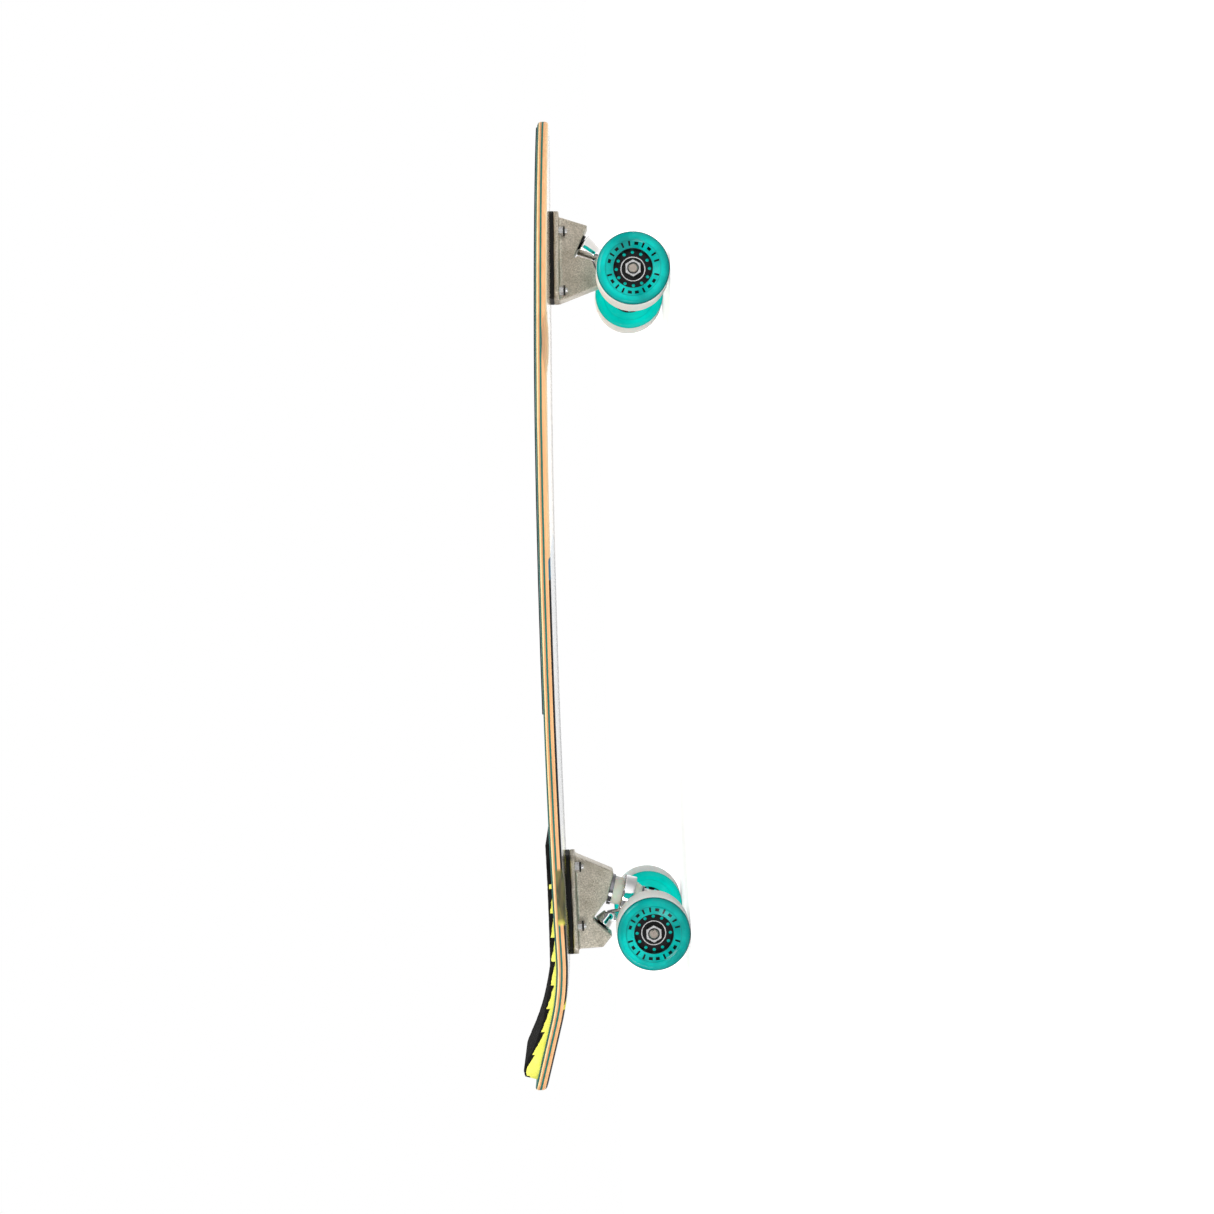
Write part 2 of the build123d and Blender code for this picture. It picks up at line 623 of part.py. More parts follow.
def make_core(plane):
    """Make the wheel's plastic core with two bearing seats and a ring of holes."""
    low, high = WHEEL_INNER_Y, WHEEL_OUTER_Y
    seat = BEARING_OUTER_RADIUS
    inner, outer = bearing_starts()
    wall, floor = CORE_RADIUS - 0.5, CORE_RADIUS - 1
    flange_end = CORE_RECESS + CORE_FLANGE
    profile = (
        (CORE_RADIUS, low + DISH_DEPTH), (wall, low + DISH_DEPTH), (floor, low + CORE_RECESS),
        (seat, low + CORE_RECESS), (seat, inner + BEARING_WIDTH), (CORE_THROAT_RADIUS, inner + BEARING_WIDTH),
        (CORE_THROAT_RADIUS, outer), (seat, outer), (seat, high - CORE_RECESS),
        (floor, high - CORE_RECESS), (wall, high - DISH_DEPTH), (CORE_RADIUS, high - DISH_DEPTH),
        (CORE_RADIUS, high - flange_end), (CORE_HUB_RADIUS, high - flange_end),
        (CORE_HUB_RADIUS, low + flange_end), (CORE_RADIUS, low + flange_end),
    )
    core = turned(profile, plane)
    for hole in PolarLocations(CORE_HOLE_CIRCLE, CORE_HOLES):
        core -= plane * Pos(0, 0, high - CORE_RECESS) * hole * Cylinder(CORE_HOLE_RADIUS, 2 * CORE_FLANGE)
        core -= plane * Pos(0, 0, low + CORE_RECESS) * hole * Cylinder(CORE_HOLE_RADIUS, 2 * CORE_FLANGE)
    return core


def save_wheel(truck, side):
    """Write one wheel's tyre, core and the bearing pieces that turn with it."""
    plane = wheel_plane(truck, side)
    name = f"{truck.name}_{'left' if side > 0 else 'right'}"
    rings, balls, shields = [], [], []
    for start in bearing_starts():
        ring = tube(BEARING_OUTER_RADIUS, RACE_OUTER_BORE, start, start + BEARING_WIDTH, plane)
        ring -= rod(SHIELD_SEAT_RADIUS, start - 1, start + SHIELD_SEAT_DEPTH, plane)
        ring -= rod(SHIELD_SEAT_RADIUS, start + BEARING_WIDTH - SHIELD_SEAT_DEPTH, start + BEARING_WIDTH + 1, plane)
        rings.append(ring - ball_groove(start, plane))
        middle = plane * Pos(0, 0, start + BEARING_WIDTH / 2)
        balls += [middle * place * Sphere(BALL_RADIUS) for place in PolarLocations(BALL_PITCH_RADIUS, BALLS)]
        inner_face = start + SHIELD_SEAT_DEPTH - SHIELD_THICKNESS
        outer_face = start + BEARING_WIDTH - SHIELD_SEAT_DEPTH
        for face in (inner_face, outer_face):
            shields.append(tube(SHIELD_SEAT_RADIUS, SHIELD_BORE, face, face + SHIELD_THICKNESS, plane))
    save(f"{name}_tyre", make_tyre(plane))
    save(f"{name}_core", make_core(plane))
    save(f"{name}_bearing_outer_rings", *rings)
    save(f"{name}_bearing_balls", *balls)
    save(f"{name}_bearing_shields", *shields)


# ---------- write every node ----------

def save_board():
    """Write the deck and what is bonded on it."""
    save("deck", make_deck())
    save("grip_sheet", make_grip())
    base, tread = make_pad_layers()
    save("tail_pad_base", base)
    save("tail_pad_tread", tread)


def save_fixed_truck(truck):
    """Write the parts of a truck that don't turn with its hanger."""
    name = truck.name
    under = -RISER_THICKNESS - FLANGE_THICKNESS
    tip = under - BOLT_BELOW_FLANGE
    bolts, nuts = [], []
    for place in bolt_places(truck):
        bolts.append(rod(BOLT_RADIUS, tip, DECK_THICKNESS - BOLT_HEAD_HEIGHT, place) + bolt_head(place, 0))
        below = Plane(origin=place.origin, x_dir=place.x_dir, z_dir=-place.z_dir)
        nuts.append(hex_nut(DECK_NUT_FLATS, BOLT_RADIUS, -under, -under + DECK_NUT_HEIGHT, below, 0.5))
    save(f"{name}_deck_bolts", *bolts)
    save(f"{name}_deck_nuts", *nuts)
    save(f"{name}_riser", make_plate(truck, -RISER_THICKNESS, 0))
    save(f"{name}_baseplate", make_baseplate(truck))
    save(f"{name}_pivot_cup", make_pivot_cup(truck))
    save(f"{name}_kingpin", make_kingpin(truck))
    pin = along(truck.seat, truck.kingpin)
    nut_end = KINGPIN_NUT_START + KINGPIN_NUT_HEIGHT
    save(f"{name}_kingpin_nut", hex_nut(KINGPIN_NUT_FLATS, KINGPIN_RADIUS, KINGPIN_NUT_START, nut_end, pin))
    board, road = make_bushings(truck)
    save(f"{name}_bushing_board", board)
    save(f"{name}_bushing_road", road)
    washer_board, washer_road = make_washers(truck)
    save(f"{name}_washer_board", washer_board)
    save(f"{name}_washer_road", washer_road)


os.makedirs("parts", exist_ok=True)
save_board()
for one_truck in TRUCKS:
    save_fixed_truck(one_truck)
    save(f"{one_truck.name}_hanger", make_hanger(one_truck))
    save_axle_group(one_truck)
    for wheel_side in (-1, 1):
        save_wheel(one_truck, wheel_side)
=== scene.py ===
"""The surf-skate's looks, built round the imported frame. Sizes are in millimetres until they reach a mesh."""

import math

import bmesh
import bpy
from mathutils import Matrix, Vector


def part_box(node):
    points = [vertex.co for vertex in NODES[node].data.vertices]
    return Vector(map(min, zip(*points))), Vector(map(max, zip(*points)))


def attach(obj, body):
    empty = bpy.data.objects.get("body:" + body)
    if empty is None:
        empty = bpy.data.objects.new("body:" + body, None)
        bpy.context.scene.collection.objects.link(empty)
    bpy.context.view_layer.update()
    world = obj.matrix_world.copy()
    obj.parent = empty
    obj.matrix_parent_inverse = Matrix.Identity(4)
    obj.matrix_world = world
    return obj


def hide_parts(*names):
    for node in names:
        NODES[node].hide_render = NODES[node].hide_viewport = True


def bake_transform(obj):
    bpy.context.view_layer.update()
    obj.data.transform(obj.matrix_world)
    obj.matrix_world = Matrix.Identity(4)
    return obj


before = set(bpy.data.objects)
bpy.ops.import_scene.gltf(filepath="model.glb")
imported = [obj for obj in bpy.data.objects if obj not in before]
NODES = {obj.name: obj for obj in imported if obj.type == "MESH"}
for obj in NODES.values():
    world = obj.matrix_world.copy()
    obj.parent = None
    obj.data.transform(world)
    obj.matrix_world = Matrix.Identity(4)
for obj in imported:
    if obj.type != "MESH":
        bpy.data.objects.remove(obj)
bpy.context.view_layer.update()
MM = 0.001

# ---------- sizes shared with the frame ----------
HALF_LENGTH = 442.5
THICKNESS = 10.5
HALF_WIDTH = 122.5
WIDEST_X = 60.0
NOSE_POWER = 3.2
TAIL_POWER = 4.0
TAIL_HALF_WIDTH = 52.0
TAIL_CORNER = 18.0
NOSE_SLOPE = math.radians(1.25)
REAR_SLOPE = math.radians(0.95)
KICK_SLOPE = math.radians(14.5)
CAMBER_START_X = 235.0
CAMBER_START_Z = 118.4
CAMBER_END_X = -230.0
KICK_START_X = -314.0
KICK_RADIUS = 224.0
FLAT_HALF = 32.0
CONCAVE_RADIUS = 1722.0
WELL_X = (229.5, -260.0)
WELL_RADIUS = 65.0
WELL_DEPTH = 5.0
WELL_REACH = 38.0
WELL_RAIL_Y = 114.0
EDGE_ROUND = 3.6
PAD_START_X = -212.5
PAD_END_X = -430.5
PAD_INSET = 6.5
DECK_NUT_HALF = 2.8
NYLON_DEPTH = 1.8  # the black end of a locking nut
MARKS_ROUND = 22.0  # printed marks round a wheel, less those in the two gaps

CAMBER_RADIUS = (CAMBER_START_X - CAMBER_END_X) / (math.sin(NOSE_SLOPE) + math.sin(REAR_SLOPE))
PEAK_X = CAMBER_START_X - CAMBER_RADIUS * math.sin(NOSE_SLOPE)
PEAK_Z = CAMBER_START_Z + CAMBER_RADIUS * (1 - math.cos(NOSE_SLOPE))
CAMBER_END_Z = PEAK_Z - CAMBER_RADIUS * (1 - math.cos(REAR_SLOPE))
KICK_START_Z = CAMBER_END_Z - (CAMBER_END_X - KICK_START_X) * math.tan(REAR_SLOPE)
KICK_LOW_X = KICK_START_X - KICK_RADIUS * math.sin(REAR_SLOPE)
KICK_LOW_Z = KICK_START_Z - KICK_RADIUS * (1 - math.cos(REAR_SLOPE))
KICK_END_X = KICK_LOW_X - KICK_RADIUS * math.sin(KICK_SLOPE)
KICK_END_Z = KICK_LOW_Z + KICK_RADIUS * (1 - math.cos(KICK_SLOPE))


# ---------- stage, lights and camera ----------

CAMERA_PLACE = (0.0139, -2.067, 0.08325)
CAMERA_RIGHT = (-0.0314, 0, -0.9995)
CAMERA_UP = (0.9995, 0, -0.0314)
SENSOR_WIDTH = 36
LENS = 66.2
LENS_SHIFT = 0.0181


def make_camera():
    """Look square at the board's right side, nose up, as the picture does."""
    data = bpy.data.cameras.new("camera")
    camera = bpy.data.objects.new("camera", data)
    bpy.context.scene.collection.objects.link(camera)
    right = Vector(CAMERA_RIGHT).normalized()
    up = Vector(CAMERA_UP).normalized()
    back = right.cross(up)
    turn = Matrix((right, up, back)).transposed().to_4x4()
    camera.matrix_world = Matrix.Translation(CAMERA_PLACE) @ turn
    data.sensor_width = SENSOR_WIDTH
    data.lens = LENS
    data.shift_x = LENS_SHIFT
    data.shift_y = -LENS_SHIFT
    data.clip_end = 50
    bpy.context.scene.camera = camera


def area_light(name, place, target, size, power):
    """Add a soft square light that faces a point."""
    data = bpy.data.lights.new(name, "AREA")
    data.size = size
    data.energy = power
    light = bpy.data.objects.new(name, data)
    light.location = place
    light.rotation_euler = (Vector(target) - Vector(place)).to_track_quat("-Z", "Y").to_euler()
    bpy.context.scene.collection.objects.link(light)


FLOOR_GLOW = 0.5
FLOOR_BOUNCE = 0.85
WORLD_LIGHT = 0.85
KEY_POWER = 24
FILL_POWER = 13
BACK_POWER = 16


def join_by_ray(tree, lighting, seen, output):
    """Show one shader to the camera and another to everything that it lights."""
    path = tree.nodes.new("ShaderNodeLightPath")
    join = tree.nodes.new("ShaderNodeMixShader")
    tree.links.new(path.outputs["Is Camera Ray"], join.inputs[0])
    tree.links.new(lighting.outputs[0], join.inputs[1])
    tree.links.new(seen.outputs[0], join.inputs[2])
    tree.links.new(join.outputs[0], output.inputs["Surface"])


def make_world():
    """Make a white backdrop whose light comes from a softer studio: bright overhead, darker at its walls."""
    world = bpy.data.worlds.new("world")
    world.use_nodes = True
    tree = world.node_tree
    backdrop = tree.nodes["Background"]
    backdrop.inputs[0].default_value = (1, 1, 1, 1)
    backdrop.inputs[1].default_value = 1.0
    room = tree.nodes.new("ShaderNodeBackground")
    room.inputs[1].default_value = WORLD_LIGHT
    coords = tree.nodes.new("ShaderNodeTexCoord")
    parts = tree.nodes.new("ShaderNodeSeparateXYZ")
    tree.links.new(coords.outputs["Generated"], parts.inputs[0])
    shades = tree.nodes.new("ShaderNodeValToRGB")
    band = shades.color_ramp
    stops = ((0.0, 0.12), (0.28, 0.35), (0.5, 1.0), (0.85, 1.5))
    while len(band.elements) < len(stops):
        band.elements.new(1.0)
    for element, (place, level) in zip(band.elements, stops):
        element.position = place
        element.color = (level, level, level, 1)
    tree.links.new(parts.outputs[2], shades.inputs[0])
    tree.links.new(shades.outputs[0], room.inputs[0])
    join_by_ray(tree, room, backdrop, tree.nodes["World Output"])
    bpy.context.scene.world = world


def make_stage():
    """Add a white floor, a white world and soft studio lights."""
    bpy.ops.mesh.primitive_plane_add(size=14, location=(0, 0, -0.0002))
    floor = bpy.context.object
    floor.name = "floor"
    material = bpy.data.materials.new("floor_white")
    material.use_nodes = True
    tree = material.node_tree
    seen = tree.nodes["Principled BSDF"]
    seen.inputs["Base Color"].default_value = (0.9, 0.9, 0.9, 1)
    seen.inputs["Roughness"].default_value = 0.9
    seen.inputs["Emission Color"].default_value = (1, 1, 1, 1)
    seen.inputs["Emission Strength"].default_value = FLOOR_GLOW
    bounced = tree.nodes.new("ShaderNodeBsdfDiffuse")
    bounced.inputs["Color"].default_value = (FLOOR_BOUNCE, FLOOR_BOUNCE, FLOOR_BOUNCE, 1)
    join_by_ray(tree, bounced, seen, tree.nodes["Material Output"])
    floor.data.materials.append(material)
    make_world()
    area_light("key", (0.9, -1.9, 1.3), (0, 0, 0.08), 0.9, KEY_POWER)
    area_light("fill", (-1.4, -1.6, 0.5), (-0.2, 0, 0.08), 0.8, FILL_POWER)
    area_light("back", (0.3, 1.6, 1.4), (0, 0, 0.08), 1.2, BACK_POWER)
    bpy.context.scene.view_settings.view_transform = "Standard"


# ---------- shader helpers ----------

class Shader:
    """A small builder for one node-based material."""

    def __init__(self, name, color=(0.8, 0.8, 0.8), rough=0.5, metal=0.0, **sockets):
        self.material = bpy.data.materials.new(name)
        self.material.use_nodes = True
        self.tree = self.material.node_tree
        self.bsdf = self.tree.nodes["Principled BSDF"]
        self.bsdf.inputs["Base Color"].default_value = (*color, 1)
        self.bsdf.inputs["Roughness"].default_value = rough
        self.bsdf.inputs["Metallic"].default_value = metal
        for socket, value in sockets.items():
            self.bsdf.inputs[socket.replace("_", " ")].default_value = value
        self.coords = self.tree.nodes.new("ShaderNodeTexCoord").outputs["Object"]

    def link(self, source, target):
        """Link a socket, or set its value when the source is plain."""
        if isinstance(source, bpy.types.NodeSocket):
            self.tree.links.new(source, target)
        else:
            target.default_value = source

    def math(self, operation, a, b=0.0):
        """Add a math node."""
        node = self.tree.nodes.new("ShaderNodeMath")
        node.operation = operation
        for value, socket in zip((a, b), node.inputs):
            self.link(value, socket)
        return node.outputs[0]

    def above(self, a, b):
        """Return 1 where a is over b."""
        return self.math("GREATER_THAN", a, b)

    def between(self, a, low, high):
        """Return 1 where a lies between two values."""
        return self.math("MULTIPLY", self.above(a, low), self.math("LESS_THAN", a, high))

    def mapped(self, scale):
        """Return the object coordinates, scaled."""
        node = self.tree.nodes.new("ShaderNodeMapping")
        node.inputs["Scale"].default_value = scale
        self.link(self.coords, node.inputs["Vector"])
        return node.outputs[0]

    def noise(self, scale, stretch=(1, 1, 1), detail=4.0, rough=0.55):
        """Add a noise texture on the object's own coordinates."""
        node = self.tree.nodes.new("ShaderNodeTexNoise")
        node.inputs["Scale"].default_value = scale
        node.inputs["Detail"].default_value = detail
        node.inputs["Roughness"].default_value = rough
        self.link(self.mapped(stretch), node.inputs["Vector"])
        return node.outputs["Fac"]

    def cells(self, scale):
        """Add a cell texture on the object's own coordinates."""
        node = self.tree.nodes.new("ShaderNodeTexVoronoi")
        node.inputs["Scale"].default_value = scale
        self.link(self.coords, node.inputs["Vector"])
        return node.outputs["Distance"]

    def ramp(self, value, stops, constant=False):
        """Add a colour ramp from (place, colour) stops."""
        node = self.tree.nodes.new("ShaderNodeValToRGB")
        band = node.color_ramp
        band.interpolation = "CONSTANT" if constant else "LINEAR"
        while len(band.elements) < len(stops):
            band.elements.new(1.0)
        for element, (place, color) in zip(band.elements, stops):
            element.position = place
            element.color = (*color, 1)
        self.link(value, node.inputs[0])
        return node.outputs[0]

    def mix(self, amount, a, b, blend="MIX"):
        """Mix two colours."""
        node = self.tree.nodes.new("ShaderNodeMix")
        node.data_type = "RGBA"
        node.blend_type = blend
        self.link(amount, node.inputs[0])
        self.link(a if isinstance(a, bpy.types.NodeSocket) else (*a, 1), node.inputs[6])
        self.link(b if isinstance(b, bpy.types.NodeSocket) else (*b, 1), node.inputs[7])
        return node.outputs[2]

    def mix_values(self, amount, a, b):
        """Mix two plain values."""
        return self.math("ADD", self.math("MULTIPLY", amount, b),
                         self.math("MULTIPLY", self.math("SUBTRACT", 1.0, amount), a))

    def span(self, value, low, high, new_low, new_high):
        """Map a value from one range to another, clamped."""
        node = self.tree.nodes.new("ShaderNodeMapRange")
        for number, socket in zip((value, low, high, new_low, new_high), node.inputs):
            self.link(number, socket)
        return node.outputs[0]

    def axes(self):
        """Return the object coordinates as three values."""
        node = self.tree.nodes.new("ShaderNodeSeparateXYZ")
        self.link(self.coords, node.inputs[0])
        return node.outputs[0], node.outputs[1], node.outputs[2]

    def from_axle(self, axle_x, axle_z):
        """Return the distances forward of and over an axle that lies along Y."""
        x, _, z = self.axes()
        return self.math("SUBTRACT", x, axle_x), self.math("SUBTRACT", z, axle_z)

    def radius_mm(self, dx, dz):
        """Return the distance from an axle in millimetres."""
        squares = self.math("ADD", self.math("MULTIPLY", dx, dx), self.math("MULTIPLY", dz, dz))
        return self.math("MULTIPLY", self.math("SQRT", squares), 1000.0)

    def attribute(self, name):
        """Read a named point attribute."""
        node = self.tree.nodes.new("ShaderNodeAttribute")
        node.attribute_name = name
        return node.outputs["Fac"]

    def bump(self, height, strength, distance=0.001):
        """Drive the surface's bump."""
        node = self.tree.nodes.new("ShaderNodeBump")
        node.inputs["Strength"].default_value = strength
        node.inputs["Distance"].default_value = distance
        self.link(height, node.inputs["Height"])
        self.link(node.outputs[0], self.bsdf.inputs["Normal"])

    def drive(self, socket, source):
        """Link a source to one of the main shader's sockets."""
        self.link(source, self.bsdf.inputs[socket])


# ---------- materials ----------

def cast_metal():
    """Tumbled aluminium casting: fine grain, soft pits and a warm grey tint."""
    s = Shader("cast_metal", rough=0.42, metal=1.0)
    cloud = s.noise(60, detail=6)
    grain = s.noise(850, detail=3)
    color = s.ramp(cloud, ((0.3, (0.50, 0.45, 0.37)), (0.7, (0.76, 0.70, 0.60))))
    s.drive("Base Color", s.mix(s.span(grain, 0.35, 0.65, 0.0, 0.6), color, (0.24, 0.215, 0.175)))
    s.drive("Roughness", s.span(grain, 0.3, 0.7, 0.34, 0.52))
    s.bump(s.math("ADD", grain, s.math("MULTIPLY", cloud, 1.5)), 0.6, 0.0004)
    return s.material


def chrome():
    """Polished plate over a casting, with a faint orange-peel wave."""
    s = Shader("chrome", (0.82, 0.82, 0.83), 0.07, 1.0)
    wave = s.noise(90, detail=2)
    s.drive("Roughness", s.span(s.noise(500), 0.3, 0.7, 0.04, 0.13))
    s.bump(wave, 0.12, 0.0006)
    return s.material


def plated_steel(name, color, rough):
    """Zinc-plated or bright turned steel with fine marks."""
    s = Shader(name, color, rough, 1.0)
    marks = s.noise(900, detail=3)
    s.drive("Base Color", s.mix(s.span(marks, 0.3, 0.75, 0.0, 0.4), color, tuple(0.6 * c for c in color)))
    s.drive("Roughness", s.span(s.noise(250), 0.3, 0.7, rough * 0.7, rough * 1.5))
    s.bump(marks, 0.1, 0.0002)
    return s.material


def nut_finish(s, nylon, pale, dull):
    """Finish a nut: marked zinc plate, and black nylon where a mask says."""
    marks = s.span(s.noise(900, detail=3), 0.3, 0.75, 0.0, 0.4)
    steel = s.mix(marks, (pale,) * 3, (dull,) * 3)
    s.drive("Base Color", s.mix(nylon, steel, (0.01, 0.01, 0.01)))
    s.drive("Metallic", s.math("SUBTRACT", 1.0, nylon))
    rough = s.span(s.noise(250), 0.3, 0.7, 0.18, 0.35)
    s.drive("Roughness", s.math("ADD", rough, s.math("MULTIPLY", nylon, 0.3)))
    return s.material


def axle_nut_steel(name, axle_x, axle_z):
    """Zinc-plated nut whose end holds a ring of black nylon round the axle."""
    s = Shader(name, (0.62, 0.62, 0.62), 0.25, 1.0)
    radius = s.radius_mm(*s.from_axle(axle_x, axle_z))
    return nut_finish(s, s.between(radius, 3.9, 5.2), 0.66, 0.36)


def deck_nut_steel(name, lean, level):
    """Zinc-plated nut with a black nylon end, below a level that leans with the board."""
    s = Shader(name, (0.62, 0.62, 0.62), 0.25, 1.0)
    x, _, z = s.axes()
    height = s.math("ADD", z, s.math("MULTIPLY", x, lean))
    return nut_finish(s, s.math("LESS_THAN", height, level), 0.70, 0.40)


def moulded(name, color, rough=0.45):
    """Moulded plastic or rubber with a fine spark texture."""
    s = Shader(name, color, rough, Specular_IOR_Level=0.18)
    spark = s.noise(1600, detail=2)
    lighter = tuple(c * 1.6 + 0.002 for c in color)
    s.drive("Base Color", s.mix(s.span(s.noise(45), 0.35, 0.7, 0.0, 0.5), color, lighter))
    s.drive("Roughness", s.span(spark, 0.3, 0.7, rough * 0.8, min(1.0, rough * 1.25)))
    s.bump(spark, 0.18, 0.0002)
    return s.material


def bushing_urethane():
    """Cream cast urethane, a little waxy."""
    s = Shader("bushing_urethane", (0.86, 0.83, 0.72), 0.38, Subsurface_Weight=0.25, Subsurface_Scale=0.004)
    s.drive("Base Color", s.ramp(s.noise(70), ((0.3, (0.80, 0.77, 0.66)), (0.7, (0.90, 0.88, 0.79)))))
    s.drive("Roughness", s.span(s.noise(300), 0.3, 0.7, 0.3, 0.48))
    s.bump(s.noise(700), 0.08, 0.0002)
    return s.material


def wheel_urethane(name, axle_x, axle_z, side):
    """Teal urethane with a painted glow from inside and painted light and shade across its face, with a ground
    tread and plain marks round its outer face.
    """
    # Emission Strength sets a painted glow: the wheel is no lamp.
    s = Shader(name, (0.0, 0.5, 0.45), 0.2, Specular_IOR_Level=0.15, Emission_Strength=0.6,
               Subsurface_Weight=0.35, Subsurface_Scale=0.006)
    s.bsdf.inputs["Subsurface Radius"].default_value = (0.05, 1.0, 0.95)
    y = s.axes()[1]
    dx, dz = s.from_axle(axle_x, axle_z)
    radius = s.radius_mm(dx, dz)
    turn = s.math("DIVIDE", s.math("ARCTAN2", dz, dx), 2 * math.pi)
    outer = s.above(s.math("MULTIPLY", y, side), 0.1)
    ring = s.between(radius, 19.3, 23.8)
    slots = s.math("FRACT", s.math("MULTIPLY", turn, MARKS_ROUND))
    number = s.math("FLOOR", s.math("MULTIPLY", turn, MARKS_ROUND))
    kind = s.math("FRACT", s.math("MULTIPLY", number, 0.381))
    wide = s.math("MULTIPLY", s.between(slots, 0.15, 0.72), s.between(radius, 20.2, 22.9))
    bar = s.between(slots, 0.3, 0.58)
    mark = s.math("ADD", s.math("MULTIPLY", wide, s.above(kind, 0.5)),
                  s.math("MULTIPLY", bar, s.math("LESS_THAN", kind, 0.5)))
    half_turn = s.math("FRACT", s.math("MULTIPLY", turn, 2.0))
    gap = s.above(s.math("ABSOLUTE", s.math("SUBTRACT", half_turn, 0.5)), 0.06)
    print_mask = s.math("MULTIPLY", s.math("MULTIPLY", mark, ring), s.math("MULTIPLY", outer, gap))
    # Painted light and shade: noise mixes darker and lighter teal across the face, standing in for streaks of
    # light seen through the urethane.
    depth = s.span(s.noise(30), 0.36, 0.64, 0.0, 1.0)
    teal = s.mix(depth, (0.0, 0.23, 0.205), (0.0, 0.50, 0.44))
    # Painted shade: the teal darkens towards the rounded lip.
    lip_shade = s.span(radius, 27.0, 31.0, 0.0, 0.8)
    teal = s.mix(lip_shade, teal, (0.0, 0.24, 0.22))
    # Painted shade: thin dark lines at the dish edge and where the face meets the tread.
    teal = s.mix(s.math("MULTIPLY", s.between(radius, 23.9, 24.8), 0.45), teal, (0.0, 0.16, 0.15))
    teal = s.mix(s.math("MULTIPLY", s.between(radius, 31.2, 32.2), 0.7), teal, (0.0, 0.09, 0.09))
    tread = s.above(radius, 32.2)
    ground = s.mix(s.span(s.noise(900), 0.3, 0.7, 0.0, 1.0), (0.78, 0.82, 0.79), (0.95, 0.94, 0.91))
    color = s.mix(tread, teal, ground)
    s.drive("Base Color", s.mix(print_mask, color, (0.0, 0.006, 0.006)))
    # Painted glow: emission on the inner faces and round the core stands in for light shining through the
    # urethane. The tread and the print get none.
    inner = s.math("LESS_THAN", s.math("MULTIPLY", y, side), 0.074)
    lit = s.math("MAXIMUM", inner, s.math("LESS_THAN", radius, 17.2))
    painted_glow = s.mix(lit, (0.0, 0.03, 0.03), (0.0, 0.62, 0.52))
    s.drive("Emission Color", s.mix(s.math("MAXIMUM", tread, print_mask), painted_glow, (0.0, 0.0, 0.0)))
    rough = s.span(s.noise(200), 0.3, 0.7, 0.10, 0.2)
    s.drive("Roughness", s.math("ADD", rough, s.math("MULTIPLY", tread, 0.5)))
    s.bump(s.math("MULTIPLY", s.noise(1100, detail=2), s.math("ADD", 0.1, tread)), 0.25, 0.0003)
    return s.material


def grip_material():
    """Dark abrasive sheet."""
    s = Shader("grip_abrasive", rough=0.85, Specular_IOR_Level=0.2)
    grit = s.cells(1500)
    s.drive("Base Color", s.ramp(grit, ((0.0, (0.05, 0.05, 0.052)), (0.35, (0.012, 0.012, 0.013)))))
    s.drive("Roughness", s.span(grit, 0.0, 0.5, 0.55, 0.95))
    s.bump(grit, 0.8, 0.0005)
    return s.material


PLIES = (
    (0.004, 0.09, 0.07), (0.88, 0.62, 0.31), (0.66, 0.31, 0.13), (0.003, 0.14, 0.11),
    (0.80, 0.42, 0.19), (0.86, 0.50, 0.24), (0.92, 0.66, 0.37),
)
PLY_STARTS = (0.0, 0.16, 0.28, 0.40, 0.57, 0.71, 0.86)  # as parts of the deck's thickness


